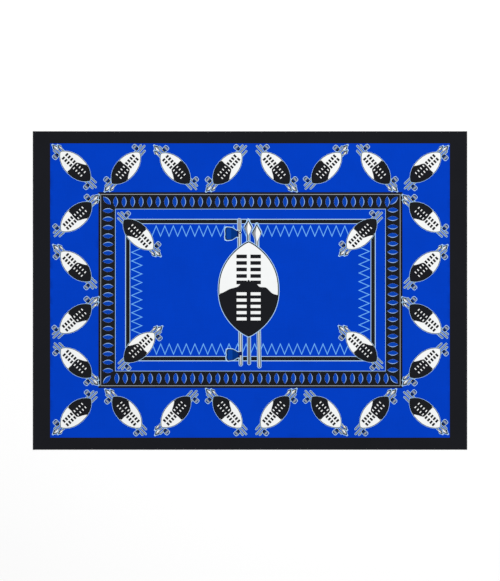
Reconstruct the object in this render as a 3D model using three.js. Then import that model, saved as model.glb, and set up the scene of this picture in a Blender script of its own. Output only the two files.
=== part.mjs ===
// A kanga: one oblong of printed cotton, laid out flat with its face up.
//
// Millimetres, +Z up. X runs along the cloth, from hem to hem, and Y runs across it, from selvedge
// to selvedge. The origin is the middle of the underside.
//
// The whole cloth is one closed solid. Its underside lies flat on the surface. Its face is level,
// with a narrow hem turned under at each end, where three layers lie on one another, and a slightly
// thicker selvedge along each side. The hem's folded end and the selvedge's outer edge are round.

import * as THREE from 'three';

// Driving dimensions
const LENGTH = 1500;
const WIDTH = 1100;
const THICKNESS = 1.2;
const HEM_WIDTH = 9;
const HEM_THICKNESS = 2.2;
const SELVEDGE_WIDTH = 7;
const SELVEDGE_THICKNESS = 1.45;

// The hem's seam: a line of stitches pulls the layers down into a shallow trough beside the turned
// edge, and past it the face slopes down to the single layer.
const SEAM_FROM_EDGE = 7;
const SEAM_DEPTH = 0.35;
const SEAM_HALF_WIDTH = 0.8;
const HEM_SLOPE = 3;
const SELVEDGE_SLOPE = 2;

// How finely the round edges and the level face are divided
const EDGE_STEPS = 3;
const LENGTH_STEPS = 6;
const WIDTH_STEPS = 4;

const COTTON_BLUE = '#013dc1';
const COTTON_ROUGHNESS = 0.85;

// Height of a quarter-round edge of the given thickness, at a distance in from its outermost line.
function edgeHeight(distance, thickness) {
  const radius = thickness / 2;
  const inward = Math.min(distance / radius, 1);
  return radius + radius * Math.sqrt(1 - (1 - inward) ** 2);
}

// A smooth step from 0 to 1 as value goes from start to end.
function smoothStep(value, start, end) {
  const t = THREE.MathUtils.clamp((value - start) / (end - start), 0, 1);
  return t * t * (3 - 2 * t);
}

// Extra height of the hem over the single layer, at a distance in from the cloth's end.
function hemRise(distance) {
  const layers = HEM_THICKNESS - THICKNESS;
  const slope = 1 - smoothStep(distance, HEM_WIDTH, HEM_WIDTH + HEM_SLOPE);
  const fromSeam = Math.abs(distance - SEAM_FROM_EDGE) / SEAM_HALF_WIDTH;
  return layers * slope - SEAM_DEPTH * Math.max(0, 1 - fromSeam);
}

// Extra height of the selvedge over the cloth, at a distance in from the cloth's side.
function selvedgeRise(distance) {
  const slope = smoothStep(distance, SELVEDGE_WIDTH, SELVEDGE_WIDTH + SELVEDGE_SLOPE);
  return (SELVEDGE_THICKNESS - THICKNESS) * (1 - slope);
}

// Distances in from one edge at which the face has a line of points: round the edge in equal
// turns, and then at each place named. They rise from 0 at the outermost line.
function edgeDistances(thickness, places) {
  const radius = thickness / 2;
  const turns = [];
  for (let step = 0; step < EDGE_STEPS; step += 1) {
    const angle = (step / EDGE_STEPS) * (Math.PI / 2);
    turns.push(radius * (1 - Math.cos(angle)));
  }
  return [...turns, radius, ...places];
}

// Places along one axis, from one edge of the cloth to the other, with its level middle divided
// evenly. The two edges mirror one another.
function linesAcross(extent, distances, middleSteps) {
  const half = extent / 2;
  const inner = distances[distances.length - 1];
  const lower = distances.map((distance) => distance - half);
  const middle = [];
  for (let step = 1; step < middleSteps; step += 1) {
    middle.push(inner - half + (step / middleSteps) * (extent - 2 * inner));
  }
  const upper = distances.map((distance) => half - distance).reverse();
  return [...lower, ...middle, ...upper];
}

// Height of the face at a point: the single layer with the hem's and selvedge's rise, brought down
// to the middle of the thickness round the outer edges.
function faceHeight(x, y) {
  const fromEnd = LENGTH / 2 - Math.abs(x);
  const fromSide = WIDTH / 2 - Math.abs(y);
  const level = THICKNESS + hemRise(fromEnd) + selvedgeRise(fromSide);
  const endShare = edgeHeight(fromEnd, HEM_THICKNESS) / HEM_THICKNESS;
  const sideShare = edgeHeight(fromSide, SELVEDGE_THICKNESS) / SELVEDGE_THICKNESS;
  return level * Math.min(endShare, sideShare);
}

// The cloth as one closed surface. A grid of points makes the face. The same points on the plane
// of the surface that the cloth lies on make the underside, and a wall joins the two at the rim.
function clothGeometry() {
  const hemLines = edgeDistances(HEM_THICKNESS, [
    SEAM_FROM_EDGE - SEAM_HALF_WIDTH,
    SEAM_FROM_EDGE,
    SEAM_FROM_EDGE + SEAM_HALF_WIDTH,
    HEM_WIDTH,
    HEM_WIDTH + HEM_SLOPE / 2,
    HEM_WIDTH + HEM_SLOPE,
  ]);
  const selvedgeLines = edgeDistances(SELVEDGE_THICKNESS, [
    SELVEDGE_WIDTH,
    SELVEDGE_WIDTH + SELVEDGE_SLOPE,
  ]);
  const xs = linesAcross(LENGTH, hemLines, LENGTH_STEPS);
  const ys = linesAcross(WIDTH, selvedgeLines, WIDTH_STEPS);

  const positions = [];
  for (const y of ys) {
    for (const x of xs) positions.push(x, y, faceHeight(x, y));
  }
  for (const y of ys) {
    for (const x of xs) positions.push(x, y, 0);
  }

  const columns = xs.length;
  const rows = ys.length;
  const under = columns * rows;
  const at = (column, row) => row * columns + column;
  const triangles = [];
  for (let row = 0; row < rows - 1; row += 1) {
    for (let column = 0; column < columns - 1; column += 1) {
      const a = at(column, row);
      const b = at(column + 1, row);
      const c = at(column + 1, row + 1);
      const d = at(column, row + 1);
      triangles.push(a, b, c, a, c, d);
      triangles.push(under + a, under + c, under + b, under + a, under + d, under + c);
    }
  }
  const wall = (from, to) => {
    triangles.push(from, under + from, under + to, from, under + to, to);
  };
  for (let column = 0; column < columns - 1; column += 1) {
    wall(at(column, 0), at(column + 1, 0));
    wall(at(column + 1, rows - 1), at(column, rows - 1));
  }
  for (let row = 0; row < rows - 1; row += 1) {
    wall(at(0, row + 1), at(0, row));
    wall(at(columns - 1, row), at(columns - 1, row + 1));
  }

  const geometry = new THREE.BufferGeometry();
  geometry.setAttribute('position', new THREE.Float32BufferAttribute(positions, 3));
  geometry.setIndex(triangles);
  geometry.computeVertexNormals();
  return geometry;
}

const cotton = new THREE.MeshStandardMaterial({
  color: COTTON_BLUE,
  roughness: COTTON_ROUGHNESS,
  metalness: 0,
});

const cloth = new THREE.Mesh(clothGeometry(), cotton);
cloth.name = 'cloth';

const group = new THREE.Group();
group.add(cloth);

export default group;
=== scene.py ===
# A kanga: one oblong of printed cotton, laid out flat with its face up.
#
# The print is a national shield cloth: a great shield with its staff and two spears stands in the
# middle of a leaf-banded frame, and smaller shields run round it. Every motif is drawn here from
# its own sizes in millimetres, as closed outlines that are printed one over another. The outlines
# then divide one sheet of cloth, and each face of the mesh takes the ink that was printed there
# last.

import math

import bpy
import numpy as np
from mathutils.geometry import delaunay_2d_cdt
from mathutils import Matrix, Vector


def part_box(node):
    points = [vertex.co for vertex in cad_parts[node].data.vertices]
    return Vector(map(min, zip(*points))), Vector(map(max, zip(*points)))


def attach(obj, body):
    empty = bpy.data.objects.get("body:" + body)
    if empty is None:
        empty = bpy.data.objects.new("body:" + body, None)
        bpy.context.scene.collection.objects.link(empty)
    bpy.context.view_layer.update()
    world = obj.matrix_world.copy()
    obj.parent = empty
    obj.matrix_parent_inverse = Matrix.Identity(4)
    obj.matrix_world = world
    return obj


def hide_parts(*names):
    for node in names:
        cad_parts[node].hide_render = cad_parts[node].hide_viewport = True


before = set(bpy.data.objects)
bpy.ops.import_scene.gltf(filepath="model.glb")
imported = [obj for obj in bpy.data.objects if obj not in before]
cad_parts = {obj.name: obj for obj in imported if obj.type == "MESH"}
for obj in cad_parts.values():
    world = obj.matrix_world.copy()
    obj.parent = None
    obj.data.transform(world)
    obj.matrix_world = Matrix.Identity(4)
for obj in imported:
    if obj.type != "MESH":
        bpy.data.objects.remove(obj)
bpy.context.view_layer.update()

MM = 0.001

# The cloth, from the frame
low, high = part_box("cloth")
LENGTH = (high[0] - low[0]) / MM
WIDTH = (high[1] - low[1]) / MM

# The sheet's own section, in millimetres. The cotton is really 0.3 mm thick. It is drawn 0.6 mm
# thick, and rises and falls by about as much again where it lies a little off the surface.
LAYER = 0.6
LIFT = 0.55
HEM_WIDTH = 9.0
HEM_RISE = 0.95
HEM_SLOPE = 3.0
SEAM_FROM_EDGE = 7.0
SEAM_DEPTH = 0.3
SEAM_HALF_WIDTH = 0.8
SELVEDGE_WIDTH = 7.0
SELVEDGE_RISE = 0.2
SELVEDGE_SLOPE = 2.0
# Distances in from the rim at which its rounding has a line of points
RIM_INSETS = (0.0, 0.1, 0.35, 0.8)
# How much of the face's rounding the underside has
UNDER_ROUNDING = 0.8

# The rise and fall: a sum of long, low waves
WAVES = [
    # wavelength in millimetres, degrees from X, phase
    (310, 20, 0.3),
    (230, 75, 1.9),
    (170, 130, 4.1),
    (125, 50, 2.2),
    (92, 160, 5.3),
    (71, 100, 0.9),
]
# All the crests never meet, so this share of what they would add up to counts as the full height.
WAVE_SHARE = 0.62
# The rim lies flat on the surface, and the full rise and fall starts this far in.
FLAT_RIM = 30.0

# Spacing of the sheet's points where nothing is printed, and how near two points become one
GRID_STEP = 14.0
MERGE_DISTANCE = 0.002

# The border and the frame, counted from the middle of the cloth
BORDER_END = 60.0
BORDER_SIDE = 42.0
FRAME_MIDDLE = (1.5, 1.5)
FRAME_HALF = (525.0, 338.3)
# Each band of the frame from the outside in: its ink and its width
FRAME_BANDS = [
    ("black", 6.9),
    ("frame grey", 2.1),
    ("black", 48.8),
    ("pale line", 1.4),
    ("blue", 33.4),
    ("pale line", 2.6),
    ("black", 12.8),
    ("pale line", 1.9),
    ("blue", 0.0),
]

# The leaves in the frame's black band: their size, how far in from the frame's edge their middles
# are, and the widths of the light line down one side and of the hairline down the other
LEAF_LENGTH = 38.0
LEAF_WIDTH = 17.0
LEAF_BAND_FROM_EDGE = 33.4
CORNER_LEAF_FROM_EDGE = 29.3
LEAF_LINE = 2.2
LEAF_HAIRLINE = 0.2
LEAF_RUNS = [
    # side, how many, pitch, middle of the run
    ("top", 33, 29.32, 5.0),
    ("bottom", 33, 29.05, 4.9),
    ("left", 20, 29.08, -0.4),
    ("right", 20, 29.07, 1.7),
]

# The zigzags inside the frame: half extents of their outer and inner corners
ZIGZAG_OUTER = (410.5, 221.5)
ZIGZAG_INNER = (375.0, 186.0)
ZIGZAG_LINE = 2.6
ZIGZAG_RUNS = [
    # side, how many outer corners, pitch, middle of the run
    ("top", 23, 29.6, 1.7),
    ("bottom", 23, 29.5, 1.4),
    ("left", 10, 29.8, -2.3),
    ("right", 10, 29.9, 0.7),
]

# Compass corners, as signs of X and Y
CORNERS = {"NE": (1, 1), "NW": (-1, 1), "SE": (1, -1), "SW": (-1, -1)}

# The small shields of the left half and their mirror images on the right: the places of both
# middles, how many degrees the shields stand steeper than 45, and the corners that the left one's
# white end, its tassels and its spear heads point to
SMALL_SHIELDS = [
    # left x, y, right x, y, steeper, white end, tassels, heads
    (-603.0, 428.5, 605.4, 424.8, -0.8, "NW", "SW", "NW"),
    (-429.1, 422.1, 435.2, 422.4, 3.8, "NE", "NW", "SW"),
    (-257.5, 421.1, 263.8, 422.6, 1.2, "NW", "NE", "NW"),
    (-78.4, 421.5, 88.7, 421.9, 3.6, "NE", "NW", "SW"),
    (-599.5, 255.0, 604.1, 254.1, -1.7, "SW", "NW", "NE"),
    (-601.1, 82.9, 603.8, 82.2, -0.3, "NW", "SW", "NW"),
    (-601.7, -96.9, 604.6, -97.4, -3.0, "SW", "NW", "NE"),
    (-600.1, -250.5, 603.8, -251.4, -1.3, "NW", "SW", "SE"),
    (-600.7, -423.0, 603.5, -422.4, -1.3, "SW", "NW", "SW"),
    (-425.7, -420.0, 430.4, -419.8, 2.8, "SE", "SW", "NW"),
    (-255.3, -418.9, 262.5, -418.9, 1.9, "SW", "SE", "SW"),
    (-78.4, -419.3, 87.2, -419.1, 3.4, "SE", "SW", "NW"),
    (-386.1, 193.6, 386.2, 195.5, 0.3, "SE", "NE", "SE"),
    (-382.6, -197.0, 385.8, -195.7, -1.2, "NE", "SE", "NE"),
]

# One shield with its staff and spears, in its own frame: u runs along it to its white end, and v
# across it to the side that the tassels hang on. Lengths are in millimetres. The two widths under
# "lines", "rod_lines" and so on are those of the outer pale line and of the dark one inside it.
GREAT = {
    "middle": (-4.7, 2.0),
    # reach of the white tip and of the black one, and the sizes and powers of the outline
    "tips": (170.5, 164.0),
    "half_width": 106.5,
    "fullness": 2.25,
    "roundness": 0.825,
    "lines": (2.1, 3.4),
    # a bar's length across the shield and its width along it, v of the middle of each of the two
    # columns, and u of each row
    "dark_bar": (36.2, 12.8),
    "white_bar": (34.5, 10.6),
    "bar_middle": 24.2,
    "dark_rows": (115.6, 93.1, 70.6, 48.0, 26.0),
    "white_rows": (-13.5, -35.2, -56.8, -78.4, -100.0),
    # v and u of the points that the edge between white and black passes through
    "divide": [(112, -14), (98, -12), (86, -8), (68, 2), (48, 8), (38, 11), (30, 18), (24, 24),
               (9, 26), (3, 33), (0, 35), (-3, 33), (-9, 26), (-25, 24), (-32, 16), (-40, 10),
               (-60, 8), (-72, -3), (-84, -13), (-98, -17), (-112, -19)],
    # v at the heads' end and at the foot, how far each end reaches along u, the width and the ink
    "staff": (32.4, 27.0, 248.0, 264.0, 14.8, "rod grey"),
    "first_spear": (1.4, -1.7, 247.0, 260.0, 13.2, "steel"),
    "second_spear": (-28.0, -37.2, 233.0, 271.0, 14.8, "rod grey"),
    "rod_lines": (2.4, 2.2),
    # length of the staff's darker upper end
    "grip": 42.0,
    # half width, length and length of the socket below it
    "first_blade": (16.4, 58.0, 26.0),
    "second_blade": (18.6, 66.0, 26.0),
    "blade_lines": (2.6, 2.8),
    # how far along v the white reaches past a blade's middle, as a share of its half width
    "blade_white": 0.3,
    # distance of the root from the staff's middle, reach along v and half height at the flare
    "tassel": (3.0, 48.5, 25.5),
    # shares of the reach, and the share of that half height at each
    "tassel_shape": [(0, 0.56), (0.15, 0.53), (0.28, 0.69), (0.48, 0.92), (0.7, 0.97), (0.87, 1),
                     (1, 0.86)],
    "tassel_lines": (3.0, 2.4),
    # how far towards the heads the first tassel is, and towards the foot the second
    "tassel_at": (194.0, 224.0),
    # inks in the order of printing, and how much of the reach from the root each one covers
    "tassel_inks": [("tassel shade", 1), ("tassel blue", 0.94), ("tassel shade", 0.58),
                    ("tassel root", 0.12)],
    # radius
    "knot": 5.2,
}
# The same for a small shield, whose middle is in the table above
SMALL = {
    "tips": (74.6, 72.0),
    "half_width": 37.0,
    "fullness": 2.25,
    "roundness": 0.77,
    "lines": (1.0, 1.9),
    "dark_bar": (11.8, 7.1),
    "white_bar": (7.4, 3.5),
    "bar_middle": 8.3,
    "dark_rows": (49.5, 38.0, 26.3, 14.4),
    "white_rows": (-0.8, -12.6, -24.7, -36.8),
    "divide": [(40, 8), (32, 7.5), (24, 7.2), (17, 6.6), (10, 8), (0, 8.2), (-10, 7.6),
               (-14, 5), (-18, -1.5), (-21.5, -9.5), (-25, -15.5), (-28, -20.5), (-31, -23),
               (-40, -28)],
    "staff": (12.5, 12.8, 95.0, 98.0, 7.4, "rod grey"),
    "first_spear": (2.2, 2.4, 112.0, 104.0, 7.4, "rod grey"),
    "second_spear": (-10.0, -9.6, 99.0, 92.0, 7.4, "rod grey"),
    "rod_lines": (1.5, 1.6),
    "grip": 0.0,
    "first_blade": (9.4, 30.0, 1.0),
    "second_blade": (7.8, 26.0, 1.0),
    "blade_lines": (1.4, 2.9),
    "blade_white": 0.0,
    "tassel": (-2.0, 23.0, 9.8),
    "tassel_shape": [(0, 0.5), (0.15, 0.85), (0.4, 0.95), (0.7, 1), (0.9, 0.9), (1, 0.6)],
    "tassel_lines": (1.7, 1.2),
    "tassel_at": (73.0, 76.0),
    "tassel_inks": [("tassel blue", 1), ("steel", 0.85), ("tassel shade", 0.55), ("black", 0.3)],
    "knot": 2.6,
}

# Inks, by the colour that they give the cotton
INKS = {
    "blue": "#013BBA",
    "black": "#1A1B1F",
    "white": "#ECEEEE",
    "pale line": "#A9CDEF",
    "frame grey": "#989DA3",
    "zigzag blue": "#6BAEEE",
    "leaf blue": "#0740AA",
    "leaf line": "#9ABBE8",
    "rod grey": "#BDC1C3",
    "steel": "#90949A",
    "tassel blue": "#063D97",
    "tassel shade": "#012F78",
    "tassel root": "#0D1850",
}
INK_NAMES = list(INKS)


def linear(hex_colour):
    """Linear RGBA of an sRGB colour that is written as a hex string."""
    values = [int(hex_colour[i:i + 2], 16) / 255 for i in (1, 3, 5)]
    return [v / 12.92 if v <= 0.04045 else ((v + 0.055) / 1.055) ** 2.4 for v in values] + [1.0]


# Outlines. Each is an array of points, a row of x and y for each.

def box_outline(half_length, half_width, middle=(0.0, 0.0)):
    """Outline of an upright oblong round a middle point."""
    corners = np.array([(-1, -1), (1, -1), (1, 1), (-1, 1)], float)
    return corners * (half_length, half_width) + middle


def pointed_oval(tips, half_width, fullness, roundness, steps):
    """Outline of a shield from its back tip round to it again: at a share t of the way to either
    tip, its half width is half_width * (1 - |t| ** fullness) ** roundness."""
    t = -np.cos(np.linspace(0, math.pi, steps + 1))
    half = half_width * np.clip(1 - np.abs(t) ** fullness, 0, 1) ** roundness
    along = t * np.where(t > 0, tips[0], tips[1])
    there = np.column_stack([along, -half])
    back = np.column_stack([along[-2:0:-1], half[-2:0:-1]])
    return np.vstack([there, back])


def leaf_outline(length, left, right, steps=8):
    """Outline of a leaf along y: two arcs that meet in its tips, a parabola of the given bulge to
    each side."""
    t = np.linspace(-1, 1, steps + 1)
    bulge = 1 - t ** 2
    up = np.column_stack([right * bulge, t * length / 2])
    down = np.column_stack([-left * bulge[-2:0:-1], t[-2:0:-1] * length / 2])
    return np.vstack([up, down])


def stroke(points, width):
    """Outline of a line of even width along a bent path: each corner is moved to both sides along
    the line that halves its angle, as far as keeps the width."""
    points = np.asarray(points, float)
    along = np.diff(points, axis=0)
    along /= np.linalg.norm(along, axis=1)[:, None]
    before = np.vstack([along[:1], along])
    after = np.vstack([along, along[-1:]])
    normal = np.column_stack([-(before + after)[:, 1], (before + after)[:, 0]])
    normal /= np.linalg.norm(normal, axis=1)[:, None]
    side = np.column_stack([-before[:, 1], before[:, 0]])
    reach = width / 2 / np.sum(normal * side, axis=1)
    shift = normal * reach[:, None]
    return np.vstack([points - shift, (points + shift)[::-1]])


def round_bar(start, end, width, steps=6):
    """Outline of a straight bar of even width, whose two ends are half circles that just reach the
    given points."""
    start, end = np.array(start, float), np.array(end, float)
    along = (end - start) / np.linalg.norm(end - start)
    side = np.array([-along[1], along[0]])
    turn = np.linspace(-math.pi / 2, math.pi / 2, steps + 1)[:, None]
    cap = width / 2 * (np.cos(turn) * along + np.sin(turn) * side)
    inward = along * width / 2
    return np.vstack([end - inward + cap, start + inward - cap])


def smooth_curve(points, steps=4):
    """Points along a Catmull-Rom curve that passes through the given points."""
    points = np.asarray(points, float)
    padded = np.vstack([2 * points[0] - points[1], points, 2 * points[-1] - points[-2]])
    t = np.linspace(0, 1, steps, endpoint=False)[:, None]
    pieces = []
    for a, b, c, d in zip(padded, padded[1:], padded[2:], padded[3:]):
        pieces.append(0.5 * (2 * b + (c - a) * t + (2 * a - 5 * b + 4 * c - d) * t ** 2
                             + (3 * b - a - 3 * c + d) * t ** 3))
    return np.vstack(pieces + [points[-1:]])


# The print, as a list of ink and outline in the order of printing

prints = []


def put(ink, outline):
    """Print one outline over all that is there."""
    prints.append((INK_NAMES.index(ink), np.asarray(outline, float)))


def print_borders():
    """The black cloth, its blue field and the nested bands of the frame."""
    put("black", box_outline(LENGTH / 2, WIDTH / 2))
    put("blue", box_outline(LENGTH / 2 - BORDER_END, WIDTH / 2 - BORDER_SIDE))
    inset = 0.0
    for ink, width in FRAME_BANDS:
        put(ink, box_outline(FRAME_HALF[0] - inset, FRAME_HALF[1] - inset, FRAME_MIDDLE))
        inset += width


def print_leaf(x, y, turn):
    """One leaf, turned from upright by the given angle: a dark blue blade with a light line down
    its right side and a hairline down the other."""
    cos, sin = math.cos(turn), math.sin(turn)
    rotation = np.array([[cos, sin], [-sin, cos]])
    half = LEAF_WIDTH / 2
    blade = leaf_outline(LEAF_LENGTH, half, half)
    inner = leaf_outline(LEAF_LENGTH - 2 * LEAF_HAIRLINE, half - LEAF_HAIRLINE, half - LEAF_LINE)
    put("leaf line", blade @ rotation + (x, y))
    put("leaf blue", inner @ rotation + (x, y))


# For each side of the frame: the way out from its middle, and the way along it
SIDES = {
    "top": ((0, 1), (1, 0)),
    "bottom": ((0, -1), (1, 0)),
    "left": ((-1, 0), (0, 1)),
    "right": ((1, 0), (0, 1)),
}


def on_side(side, half_extents, inward, along):
    """Points on one side of the frame, at a distance inward from the half extents and at places
    along it."""
    out, run = np.array(SIDES[side], float)
    reach = np.abs(out) @ half_extents - inward
    middle = np.abs(out) * FRAME_MIDDLE
    return middle + out * np.reshape(reach, (-1, 1)) + run * np.reshape(along, (-1, 1))


def print_leaf_band():
    """Leaves side by side along the four runs of the black band, and one across each corner. The
    light line turns with its leaf: it is above on the left run and below on the right one."""
    turns = {"top": 0.0, "bottom": 0.0, "left": math.pi / 2, "right": -math.pi / 2}
    for side, count, pitch, middle in LEAF_RUNS:
        along = middle + (np.arange(count) - (count - 1) / 2) * pitch
        for x, y in on_side(side, FRAME_HALF, LEAF_BAND_FROM_EDGE, along):
            print_leaf(x, y, turns[side])
    reach = np.array(FRAME_HALF) - CORNER_LEAF_FROM_EDGE
    for sign_x, sign_y, turn in ((-1, 1, 45), (1, 1, -45), (1, -1, -135), (-1, -1, 135)):
        x, y = FRAME_MIDDLE + reach * (sign_x, sign_y)
        print_leaf(x, y, math.radians(turn))


def print_zigzags():
    """The four zigzags along the inside of the frame. Each starts half a pitch before its first
    outer corner and ends half a pitch past its last."""
    for side, count, pitch, middle in ZIGZAG_RUNS:
        n = np.arange(2 * count + 1)
        along = middle + (n - count) * pitch / 2
        depth = np.abs(SIDES[side][0]) @ np.subtract(ZIGZAG_OUTER, ZIGZAG_INNER)
        points = on_side(side, ZIGZAG_OUTER, depth * ((n + 1) % 2), along)
        put("zigzag blue", stroke(points, ZIGZAG_LINE))


def shield_frame(middle, u_axis, v_axis):
    """A function that puts an outline of the shield's own u and v on the cloth."""
    axes = np.array([u_axis, v_axis], float)
    return lambda outline: np.asarray(outline, float) @ axes + middle


# How much of the pale line's width stays bare beside a staff's grip
BARE_BY_GRIP = 0.7


def print_rod(place, rod, lines, heads, grip=0.0):
    """A staff or a spear's shaft: a rod with a dark and a pale line round it and half-round ends.
    The grip is the length of a darker stretch at its upper end."""
    v_head, v_foot, reach_head, reach_foot, width, core = rod
    top = np.array([heads * reach_head, v_head])
    foot = np.array([-heads * reach_foot, v_foot])
    along = (foot - top) / np.linalg.norm(foot - top)
    pale, dark = lines
    for ink, inset in (("pale line", 0.0), ("black", pale), (core, pale + dark)):
        put(ink, place(round_bar(top + along * inset, foot - along * inset, width - 2 * inset)))
    if grip:
        inset = BARE_BY_GRIP * pale
        put("steel", place(round_bar(top + along * inset, top + along * grip, width - 2 * inset)))


# Share of the half width that a spear's blade has at shares of its length from the tip
BLADE_SHAPE = np.array([(0, 0), (0.2, 0.42), (0.4, 0.88), (0.5, 1), (0.6, 0.88), (0.8, 0.52)])
# Least half width of a socket, in millimetres
LEAST_SOCKET = 0.6


def print_blade(place, rod, blade, lines, white, heads):
    """A spear's head: a long blade that is widest at its middle, grey on the side that v runs to
    and white on the rest, with a socket as wide as the shaft below it. white is how far the white
    reaches into the grey side, as a share of its half width."""
    half_width, length, socket = blade
    pale, dark = lines
    v_tip, reach, width = rod[0], rod[2], rod[4]

    def outline(inset, grey_side=1.0):
        top, foot = reach - 2 * inset, reach - length
        u = np.append(top + BLADE_SHAPE[:, 0] * (foot - top), [foot, foot - socket])
        shaft = max(width / 2 - inset, LEAST_SOCKET)
        half = np.append(BLADE_SHAPE[:, 1] * (half_width - inset), [shaft, shaft])
        down = np.column_stack([heads * u, v_tip - half])
        up = np.column_stack([heads * u, v_tip + half * grey_side])
        return np.vstack([down, up[:0:-1]])

    put("pale line", place(outline(0.0)))
    put("black", place(outline(pale)))
    put("steel", place(outline(pale + dark)))
    put("white", place(outline(pale + dark, grey_side=white)))


# The second tassel's flare against the first one's
SECOND_FLARE = 0.92
# Half the height of the two lobes at a tassel's end, as a share of its reach, and the steps across
LOBE_SWING = 0.014
LOBE_STEPS = 8
# Least half height inside a tassel's lines, in millimetres
LEAST_TASSEL = 0.2
# A knot's parts against its radius: how far it sits past the tassel's middle and off the staff's,
# the radius of its white middle, and the half length and half width of a binding
KNOT_PAST = 0.8
KNOT_OFF = 0.46
KNOT_WHITE = 0.42
BINDING = (1.25, 0.8)
KNOT_SIDES = 12


def print_tassel(place, rod, heads, along, size, tied):
    """A feather tassel bound round the staff: a short neck that swells to a broad end with two low
    lobes, darker towards its root. The one that is tied on is a little larger, and its knot shows
    on the staff as a dark ring round a white middle. The other has a dark binding there."""
    root, reach, flare = size["tassel"]
    if not tied:
        flare *= SECOND_FLARE
    pale, dark = size["tassel_lines"]
    v_staff = np.interp(along, (-rod[3], rod[2]), (rod[1], rod[0]))
    v_root = v_staff + root
    shares, halves = np.transpose(size["tassel_shape"])

    def bell(inset, stop=1.0):
        s = np.append(shares[shares < stop], stop)
        half = np.maximum(flare * np.interp(s, shares, halves) - inset, LEAST_TASSEL)
        v = v_root + s * (reach - inset)
        w = np.linspace(-1, 1, LOBE_STEPS + 1)[1:-1]
        lobes = LOBE_SWING * reach * (1 - np.cos(w * 2 * math.pi)) * stop
        end = np.column_stack([w * half[-1], v[-1] + lobes])
        lower = np.column_stack([-half, v])
        upper = np.column_stack([half, v])[::-1]
        return np.vstack([lower, end, upper]) + (heads * along, 0)

    put("pale line", place(bell(0.0)))
    put("black", place(bell(pale)))
    for ink, stop in size["tassel_inks"]:
        put(ink, place(bell(pale + dark, stop)))
    knot = size["knot"]
    knot_u = heads * (along + KNOT_PAST * knot)
    if tied:
        turn = np.linspace(0, 2 * math.pi, KNOT_SIDES, endpoint=False)
        ring = np.column_stack([np.cos(turn), np.sin(turn)])
        for ink, radius in (("black", knot), ("white", KNOT_WHITE * knot)):
            put(ink, place(ring * radius + (knot_u, v_staff - KNOT_OFF * knot)))
    else:
        half_length, half_width = BINDING
        binding = box_outline(half_length * knot, half_width * knot, (knot_u, v_staff))
        put("tassel root", place(binding))


def print_bars(place, size):
    """Two columns of bars across the shield: black on its white end and white on its black end."""
    for ink, bar, rows in (("black", size["dark_bar"], size["dark_rows"]),
                           ("white", size["white_bar"], size["white_rows"])):
        for u in rows:
            for v in (-size["bar_middle"], size["bar_middle"]):
                put(ink, place(box_outline(bar[1] / 2, bar[0] / 2, (u, v))))


def black_half(oval, divide):
    """Outline of the black part of a shield: the points of its oval on the black side of the
    divide, in order round the tip, and then the divide itself as far as it is inside the oval."""
    u, v = smooth_curve(divide).T[::-1]
    dark_end = oval[oval[:, 0] < np.interp(oval[:, 1], v[::-1], u[::-1])]
    order = np.argsort(np.arctan2(dark_end[:, 1], -dark_end[:, 0]))
    one_side = oval[:len(oval) // 2 + 1]
    inside = np.abs(v) < np.interp(u, one_side[:, 0], -one_side[:, 1])
    return np.vstack([dark_end[order], np.column_stack([u, v])[inside]])


# A line round a shield reaches this many times its width at the pointed tips.
TIP_INSET = 1.25


def print_shield(size, middle, u_axis, v_axis, heads, steps):
    """One shield over its staff and two spears. heads is 1 where the spears point to its white end
    and -1 where they point to its black one."""
    place = shield_frame(middle, u_axis, v_axis)
    staff = size["staff"]
    print_rod(place, size["second_spear"], size["rod_lines"], heads)
    print_rod(place, size["first_spear"], size["rod_lines"], heads)
    print_rod(place, staff, size["rod_lines"], heads, size["grip"])
    lines, white = size["blade_lines"], size["blade_white"]
    print_blade(place, size["first_spear"], size["first_blade"], lines, white, heads)
    print_blade(place, size["second_spear"], size["second_blade"], lines, white, heads)
    at_head, at_foot = size["tassel_at"]
    print_tassel(place, staff, heads, at_head, size, tied=True)
    print_tassel(place, staff, heads, -at_foot, size, tied=False)

    def oval(inset):
        tips = np.array(size["tips"]) - TIP_INSET * inset
        return pointed_oval(tips, size["half_width"] - inset, size["fullness"],
                            size["roundness"], steps)

    pale, dark = size["lines"]
    put("pale line", place(oval(0.0)))
    put("black", place(oval(pale)))
    put("white", place(oval(pale + dark)))
    put("black", place(black_half(oval(pale + dark), size["divide"])))
    print_bars(place, size)


def print_small_shields():
    """The small shields of the left half, each with its mirror image on the right."""
    for left_x, left_y, right_x, right_y, steeper, white, tassels, heads in SMALL_SHIELDS:
        angle = math.radians(45 + steeper)
        for mirror, middle in ((1, (left_x, left_y)), (-1, (right_x, right_y))):
            u = np.array(CORNERS[white]) * (mirror * math.cos(angle), math.sin(angle))
            v = np.array(CORNERS[tassels]) * (mirror * math.sin(angle), math.cos(angle))
            print_shield(SMALL, middle, u, v, 1 if heads == white else -1, steps=12)


def print_great_shield():
    """The great shield, upright in the middle of the cloth, with its tassels to the left."""
    print_shield(GREAT, GREAT["middle"], (0.0, 1.0), (-1.0, 0.0), 1, steps=28)


print_borders()
print_leaf_band()
print_zigzags()
print_small_shields()
print_great_shield()


# The sheet

def smooth_step(value, start, end):
    """0 up to start and 1 past end, with a smooth rise between them."""
    t = np.clip((value - start) / (end - start), 0, 1)
    return t * t * (3 - 2 * t)


def lift(x, y):
    """Height of the underside over the surface: the sum of the waves, brought to between 0 and
    LIFT."""
    total = np.zeros_like(x)
    for wavelength, degrees, phase in WAVES:
        angle = math.radians(degrees)
        travel = x * math.cos(angle) + y * math.sin(angle)
        total += np.sin(travel * 2 * math.pi / wavelength + phase)
    return LIFT * np.clip(0.5 + total / (2 * len(WAVES) * WAVE_SHARE), 0, 1)


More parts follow.
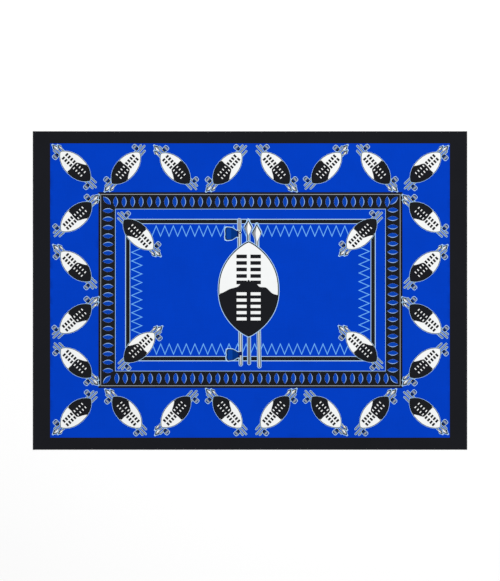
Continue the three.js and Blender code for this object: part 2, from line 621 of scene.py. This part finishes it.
def sheet_heights(x, y):
    """Heights of the underside and of the face: the layer's thickness, the hem's and selvedge's
    rise, the seam's trough, and a quarter round along the outer edges."""
    from_end = LENGTH / 2 - np.abs(x)
    from_side = WIDTH / 2 - np.abs(y)
    hem = HEM_RISE * (1 - smooth_step(from_end, HEM_WIDTH, HEM_WIDTH + HEM_SLOPE))
    seam = SEAM_DEPTH * np.clip(1 - np.abs(from_end - SEAM_FROM_EDGE) / SEAM_HALF_WIDTH, 0, 1)
    slope_end = SELVEDGE_WIDTH + SELVEDGE_SLOPE
    selvedge = SELVEDGE_RISE * (1 - smooth_step(from_side, SELVEDGE_WIDTH, slope_end))
    thick = LAYER + hem - seam + selvedge
    radius = thick / 2
    from_rim = np.minimum(from_end, from_side)
    inward = np.clip(from_rim / radius, 0, 1)
    round_off = radius * (1 - np.sqrt(np.clip(1 - (1 - inward) ** 2, 0, 1)))
    under = lift(x, y) * smooth_step(from_rim, 0, FLAT_RIM)
    return under + UNDER_ROUNDING * round_off, under + thick - round_off


def line_points(start, end):
    """Points along a straight line, no further apart than the sheet's other points."""
    start, end = np.array(start, float), np.array(end, float)
    count = max(1, math.ceil(np.linalg.norm(end - start) / GRID_STEP))
    return start + (end - start) * np.linspace(0, 1, count + 1)[:, None]


def sheet_lines():
    """Open lines that the faces have to follow: along the rounded rim, the hems, the seams and the
    selvedges."""
    half_length, half_width = LENGTH / 2, WIDTH / 2
    lines = []
    for inset in RIM_INSETS:
        corners = box_outline(half_length - inset, half_width - inset)
        for start, end in zip(corners, np.roll(corners, -1, axis=0)):
            lines.append(line_points(start, end))
    hem_insets = (SEAM_FROM_EDGE - SEAM_HALF_WIDTH, SEAM_FROM_EDGE,
                  SEAM_FROM_EDGE + SEAM_HALF_WIDTH, HEM_WIDTH, HEM_WIDTH + HEM_SLOPE / 2,
                  HEM_WIDTH + HEM_SLOPE)
    for inset in hem_insets:
        for sign in (1, -1):
            x = sign * (half_length - inset)
            lines.append(line_points((x, -half_width), (x, half_width)))
    for inset in (SELVEDGE_WIDTH, SELVEDGE_WIDTH + SELVEDGE_SLOPE):
        for sign in (1, -1):
            y = sign * (half_width - inset)
            lines.append(line_points((-half_length, y), (half_length, y)))
    return lines


def divide_cloth():
    """Triangles that follow every printed outline and every line of the sheet. Returns the points,
    the triangles, and the ink that was printed last on each."""
    points, edges, faces = [], [], []
    for ink, outline in prints:
        x, y = outline.T
        if np.sum(x * np.roll(y, -1) - np.roll(x, -1) * y) < 0:
            outline = outline[::-1]
        start = len(points)
        points.extend(outline.tolist())
        faces.append(list(range(start, len(points))))
    for line in sheet_lines():
        start = len(points)
        points.extend(line.tolist())
        edges.extend((i, i + 1) for i in range(start, len(points) - 1))
    margin = HEM_WIDTH + HEM_SLOPE + GRID_STEP / 2
    xs = np.linspace(-1, 1, round(LENGTH / GRID_STEP)) * (LENGTH / 2 - margin)
    ys = np.linspace(-1, 1, round(WIDTH / GRID_STEP)) * (WIDTH / 2 - margin)
    points.extend((x, y) for x in xs for y in ys)
    fill_all = 0
    out_points, _, triangles, _, _, out_prints = delaunay_2d_cdt(points, edges, faces, fill_all,
                                                                 MERGE_DISTANCE)
    ink = np.array([prints[max(over)][0] for over in out_prints])
    return np.array([(p[0], p[1]) for p in out_points]), np.array(triangles), ink


def rim_edges(triangles):
    """Edges that only one triangle uses, in that triangle's direction."""
    edges = np.vstack([triangles[:, [0, 1]], triangles[:, [1, 2]], triangles[:, [2, 0]]])
    _, first, counts = np.unique(np.sort(edges, axis=1), axis=0, return_index=True,
                                 return_counts=True)
    return edges[first[counts == 1]]


def new_mesh(name, points, faces):
    """A mesh object at the origin, from points in millimetres."""
    mesh = bpy.data.meshes.new(name)
    mesh.from_pydata((np.asarray(points) * MM).tolist(), [], faces)
    obj = bpy.data.objects.new(name, mesh)
    bpy.context.scene.collection.objects.link(obj)
    return obj


# The sheet's map: its margin and width, where the face's part starts, how high the underside's is,
# and the rim's two edges between them
MAP_MARGIN = 0.002
MAP_WIDTH = 0.996
FACE_START = 0.264
UNDER_HEIGHT = 0.24
RIM_TOP, RIM_FOOT = 0.257, 0.249


def make_cloth(materials):
    """The cloth as one closed sheet: the face in the inks, the underside in their paler
    print-through, and a narrow rim that joins the two."""
    flat, triangles, ink = divide_cloth()
    under, face = sheet_heights(flat[:, 0], flat[:, 1])
    count = len(flat)
    points = np.vstack([np.column_stack([flat, face]), np.column_stack([flat, under])])
    rim = rim_edges(triangles)
    rim_faces = np.column_stack([rim[:, 1], rim[:, 0], rim[:, 0] + count, rim[:, 1] + count])
    faces = triangles.tolist() + (triangles[:, ::-1] + count).tolist() + rim_faces.tolist()
    cloth = new_mesh("printed_cloth", points, faces)
    for material in materials:
        cloth.data.materials.append(material)
    black = INK_NAMES.index("black")
    slots = np.concatenate([ink, ink + len(INK_NAMES), np.full(len(rim), black)])
    cloth.data.polygons.foreach_set("material_index", slots.astype(np.int32))
    cloth.data.polygons.foreach_set("use_smooth", np.ones(len(faces), bool))

    # The face takes the upper three quarters of the map at one scale both ways, and the underside
    # and the rim share the strip below it.
    corners = np.empty(len(cloth.data.loops), np.int32)
    cloth.data.loops.foreach_get("vertex_index", corners)
    place = flat[corners % count]
    across = MAP_MARGIN + MAP_WIDTH * (place[:, 0] / LENGTH + 0.5)
    up = place[:, 1] / WIDTH + 0.5
    on_face = FACE_START + MAP_WIDTH * WIDTH / LENGTH * up
    on_under = MAP_MARGIN + UNDER_HEIGHT * up
    on_rim = np.where(corners < count, RIM_TOP, RIM_FOOT)
    kind = np.repeat([0, 1, 2], [3 * len(triangles), 3 * len(triangles), 4 * len(rim)])
    v = np.choose(kind, [on_face, on_under, on_rim])
    layer = cloth.data.uv_layers.new(name="OFBake")
    layer.data.foreach_set("uv", np.column_stack([across, v]).ravel().astype(np.float32))
    cloth.data.update()
    return cloth


# The hems' stitches: their pitch and length, how much of a seam's end is bare, the thread's radius,
# how high a stitch's arc is and how deep it starts in the cloth, and how far the arc and the
# thread's thickness fall off towards its ends, where 1 is to nothing
STITCH_PITCH = 3.2
STITCH_LENGTH = 2.5
SEAM_END = 6.0
THREAD_RADIUS = 0.19
ARC_HEIGHT = 0.32
ARC_SUNK = 0.24
ARC_FALL = 0.96
THREAD_FALL = 0.9


def make_stitches(material):
    """The hems' seams: a row of short arcs of thread, each a six-sided tube. At a share s of the way
    to either end its height and thickness go as sqrt(1 - fall * s squared), so it dips into the
    cloth there."""
    rings, sides = 5, 6
    count = int((WIDTH - 2 * SEAM_END) / STITCH_PITCH)
    s = np.linspace(-1, 1, rings)
    turn = np.arange(sides) * 2 * math.pi / sides
    arch = ARC_HEIGHT * np.sqrt(1 - ARC_FALL * s ** 2)
    slim = THREAD_RADIUS * np.sqrt(1 - THREAD_FALL * s ** 2)
    across = slim[:, None] * np.cos(turn)
    along = np.repeat((s * STITCH_LENGTH / 2)[:, None], sides, axis=1)
    height = arch[:, None] + slim[:, None] * np.sin(turn) - ARC_SUNK
    stitch = np.stack([across, along, height], axis=2).reshape(-1, 3)
    ring, side = np.meshgrid(np.arange(rings - 1), np.arange(sides), indexing="ij")
    a = (ring * sides + side).ravel()
    b = (ring * sides + (side + 1) % sides).ravel()
    quads = np.column_stack([a, a + sides, b + sides, b])
    caps = [list(range(sides))[::-1], [(rings - 1) * sides + i for i in range(sides)]]

    points, faces = [], []
    for sign in (1, -1):
        x = sign * (LENGTH / 2 - SEAM_FROM_EDGE)
        ys = (np.arange(count) - (count - 1) / 2) * STITCH_PITCH
        _, face = sheet_heights(np.full(count, x), ys)
        for y, z in zip(ys, face):
            start = len(points) * rings * sides
            points.append(stitch + (x, y, z))
            faces.extend((quads + start).tolist())
            faces.extend([[i + start for i in cap] for cap in caps])
    stitches = new_mesh("hem_stitches", np.vstack(points), faces)
    stitches.data.materials.append(material)
    stitches.data.polygons.foreach_set("use_smooth", np.ones(len(faces), bool))
    return stitches


# Materials

def add_node(material, kind, settings=None, inputs=None):
    """Add one node, set its own settings, and set or link each input that is named."""
    node = material.node_tree.nodes.new(kind)
    for name, value in (settings or {}).items():
        setattr(node, name, value)
    for name, value in (inputs or {}).items():
        if isinstance(value, bpy.types.NodeSocket):
            material.node_tree.links.new(value, node.inputs[name])
        else:
            node.inputs[name].default_value = value
    return node


def new_material(name):
    """A material with an empty node tree."""
    material = bpy.data.materials.new(name)
    material.use_nodes = True
    material.node_tree.nodes.clear()
    return material


# Plain-weave kanga cotton has about 28 threads to the centimetre, 0.36 mm apart, which is a tenth
# of a pixel here. What shows of the weave from this far is how its threads differ, so they are
# drawn as uneven bundles, 3 mm across and 70 mm long, both ways of the cloth.
BUNDLE_WIDTH = 3.0 * MM
BUNDLE_LENGTH = 70.0 * MM
# Finer slubs, single thick threads drawn 1.2 mm across
SLUB_WIDTH = 1.2 * MM
SLUB_LENGTH = 24.0 * MM
# Dye takes up a little unevenly over a hand's breadth.
DYE_PATCH = 110.0 * MM
# What the four thread noises together, and the one of the dye, mostly lie between
THREADS_RANGE = (1.2, 2.8)
DYE_RANGE = (0.3, 0.7)
# How far the roughness differs from thread to thread, and how high the threads stand
ROUGHNESS_SPREAD = 0.06
THREAD_RELIEF = 0.06 * MM


def thread_noise(material, place, width, length, along_x):
    """Noise stretched along the threads of one direction."""
    scale = (1 / length, 1 / width, 1.0) if along_x else (1 / width, 1 / length, 1.0)
    stretch = add_node(material, "ShaderNodeMapping", {"vector_type": "POINT"},
                       {"Vector": place, "Scale": scale})
    noise = add_node(material, "ShaderNodeTexNoise", {"noise_dimensions": "2D"},
                     {"Vector": stretch.outputs["Vector"], "Scale": 1.0, "Detail": 1.0,
                      "Roughness": 0.5})
    return noise.outputs["Fac"]


def printed_cotton(name, hex_colour, uneven, roughness):
    """Cotton in plain weave, bleached and roller printed: a matt cloth whose ink soaks in, so its
    colour is a little uneven from thread to thread and patch to patch, with a faint sheen of fibre
    at a low angle and no gloss of its own."""
    material = new_material(name)
    place = add_node(material, "ShaderNodeTexCoord").outputs["Object"]
    threads, *others = [thread_noise(material, place, width, length, along_x)
                        for width, length in ((BUNDLE_WIDTH, BUNDLE_LENGTH),
                                              (SLUB_WIDTH, SLUB_LENGTH))
                        for along_x in (True, False)]
    for noise in others:
        threads = add_node(material, "ShaderNodeMath", {"operation": "ADD"},
                           {0: threads, 1: noise}).outputs[0]
    patch = add_node(material, "ShaderNodeTexNoise", {"noise_dimensions": "2D"},
                     {"Vector": place, "Scale": 1 / DYE_PATCH, "Detail": 2.0}).outputs["Fac"]

    shade = add_node(material, "ShaderNodeMapRange", {"clamp": False},
                     {"Value": threads, "From Min": THREADS_RANGE[0],
                      "From Max": THREADS_RANGE[1], "To Min": 1 - uneven,
                      "To Max": 1 + uneven}).outputs[0]
    dye = add_node(material, "ShaderNodeMapRange", {"clamp": False},
                   {"Value": patch, "From Min": DYE_RANGE[0], "From Max": DYE_RANGE[1],
                    "To Min": 1 - uneven / 2, "To Max": 1 + uneven / 2}).outputs[0]
    strength = add_node(material, "ShaderNodeMath", {"operation": "MULTIPLY"}, {0: shade, 1: dye})
    colour = add_node(material, "ShaderNodeVectorMath", {"operation": "SCALE"},
                      {0: linear(hex_colour)[:3], "Scale": strength.outputs[0]})
    rough = add_node(material, "ShaderNodeMapRange", {},
                     {"Value": threads, "From Min": THREADS_RANGE[0],
                      "From Max": THREADS_RANGE[1], "To Min": roughness - ROUGHNESS_SPREAD,
                      "To Max": roughness + ROUGHNESS_SPREAD}).outputs[0]
    bump = add_node(material, "ShaderNodeBump", {},
                    {"Height": threads, "Distance": THREAD_RELIEF, "Strength": 0.7}).outputs[0]
    shader = add_node(material, "ShaderNodeBsdfPrincipled", {},
                      {"Base Color": colour.outputs["Vector"], "Roughness": rough, "Normal": bump,
                       "Metallic": 0.0, "IOR": 1.5, "Specular IOR Level": 0.02,
                       "Sheen Weight": 0.004, "Sheen Roughness": 0.5})
    add_node(material, "ShaderNodeOutputMaterial", {}, {"Surface": shader.outputs["BSDF"]})
    return material


def through_cloth(hex_colour, share=0.34):
    """Colour of an ink seen from behind, where bleached cotton covers the given share of it."""
    mixed = []
    for i in (1, 3, 5):
        ink = int(hex_colour[i:i + 2], 16)
        cotton = int(INKS["white"][i:i + 2], 16)
        mixed.append(round(ink + (cotton - ink) * share))
    return "#{:02X}{:02X}{:02X}".format(*mixed)


# The sewing thread: its dye, and the scale of its wave texture, whose bands of relief and
# painted shade and highlight are then 6.3 mm apart along a seam. A real twist is about 0.5 mm
# long, too fine to show here.
THREAD_BLACK = "#232327"
THREAD_WAVE_SCALE = 100.0


def sewing_thread():
    """Spun polyester sewing thread, dyed black: a hard twisted yarn, a little glossier than the
    cotton round it, whose relief and painted shade and highlight rise and fall along the seam."""
    material = new_material("black_sewing_thread")
    place = add_node(material, "ShaderNodeTexCoord").outputs["Object"]
    twist = add_node(material, "ShaderNodeTexWave", {"bands_direction": "DIAGONAL"},
                     {"Vector": place, "Scale": THREAD_WAVE_SCALE}).outputs["Fac"]
    # The thread's colour is painted darker and lighter in step with its twist relief: painted shade
    # and highlight on the ridges.
    shade = add_node(material, "ShaderNodeMapRange", {},
                     {"Value": twist, "To Min": 0.75, "To Max": 1.25}).outputs[0]
    painted_twist_shading = add_node(material, "ShaderNodeVectorMath", {"operation": "SCALE"},
                    {0: linear(THREAD_BLACK)[:3], "Scale": shade})
    bump = add_node(material, "ShaderNodeBump", {},
                    {"Height": twist, "Distance": 0.05 * MM, "Strength": 0.6}).outputs[0]
    shader = add_node(material, "ShaderNodeBsdfPrincipled", {},
                      {"Base Color": painted_twist_shading.outputs["Vector"], "Roughness": 0.55, "Normal": bump,
                       "Specular IOR Level": 0.4})
    add_node(material, "ShaderNodeOutputMaterial", {}, {"Surface": shader.outputs["BSDF"]})
    return material


def cloth_materials():
    """A material for each ink on the face, and then for each as it shows through underneath. Bare
    cotton is more even than printed."""
    face, under = [], []
    for name, colour in INKS.items():
        title = name.replace(" ", "_")
        uneven = 0.02 if name == "white" else 0.05
        face.append(printed_cotton("cotton_printed_" + title, colour, uneven, 0.82))
        under.append(printed_cotton("cotton_back_" + title, through_cloth(colour), uneven, 0.88))
    return face + under


cloth = make_cloth(cloth_materials())
stitches = make_stitches(sewing_thread())
for piece in (cloth, stitches):
    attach(piece, "root")
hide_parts("cloth")


# Floor, light and camera

def make_floor():
    """A plain pale studio floor, a hair below the cloth so that the two never share a plane."""
    half_side, level = 6000.0, -0.05
    corners = box_outline(half_side, half_side)
    points = np.column_stack([corners, np.full(len(corners), level)])
    floor = new_mesh("studio_floor", points, [(0, 1, 2, 3)])
    material = new_material("matt_white_floor")
    shader = add_node(material, "ShaderNodeBsdfPrincipled", {},
                      {"Base Color": (0.97, 0.97, 0.97, 1.0), "Roughness": 0.9,
                       "Specular IOR Level": 0.1})
    add_node(material, "ShaderNodeOutputMaterial", {}, {"Surface": shader.outputs["BSDF"]})
    floor.data.materials.append(material)


def make_light():
    """One broad soft light above the camera, a little to the upper right, and an even pale
    surround. The colours are shown as they are, with no film curve."""
    light = bpy.data.lights.new("overhead", "AREA")
    light.shape = "RECTANGLE"
    light.size = 3.0
    light.size_y = 3.0
    light.energy = 240.0
    lamp = bpy.data.objects.new("overhead", light)
    lamp.location = (0.9, 1.3, 6.2)
    lamp.rotation_euler = (math.radians(-12), math.radians(8), 0)
    bpy.context.scene.collection.objects.link(lamp)
    bpy.context.scene.view_settings.view_transform = "Standard"
    world = bpy.data.worlds.new("pale_surround")
    world.use_nodes = True
    background = world.node_tree.nodes["Background"]
    background.inputs["Color"].default_value = (1.0, 1.0, 1.0, 1.0)
    background.inputs["Strength"].default_value = 0.55
    bpy.context.scene.world = world


def make_camera():
    """A long lens straight above the middle of the cloth, as far off as makes each pixel of the
    photograph's height show its length of cloth."""
    lens, sensor = 85.0, 36.0
    photo_height, cloth_in_pixel = 581, 3.454 * MM
    data = bpy.data.cameras.new("camera")
    data.lens = lens
    data.sensor_width = sensor
    camera = bpy.data.objects.new("camera", data)
    camera.location = (0.0, 0.0, lens / sensor * photo_height * cloth_in_pixel)
    bpy.context.scene.collection.objects.link(camera)
    bpy.context.scene.camera = camera


make_floor()
make_light()
make_camera()
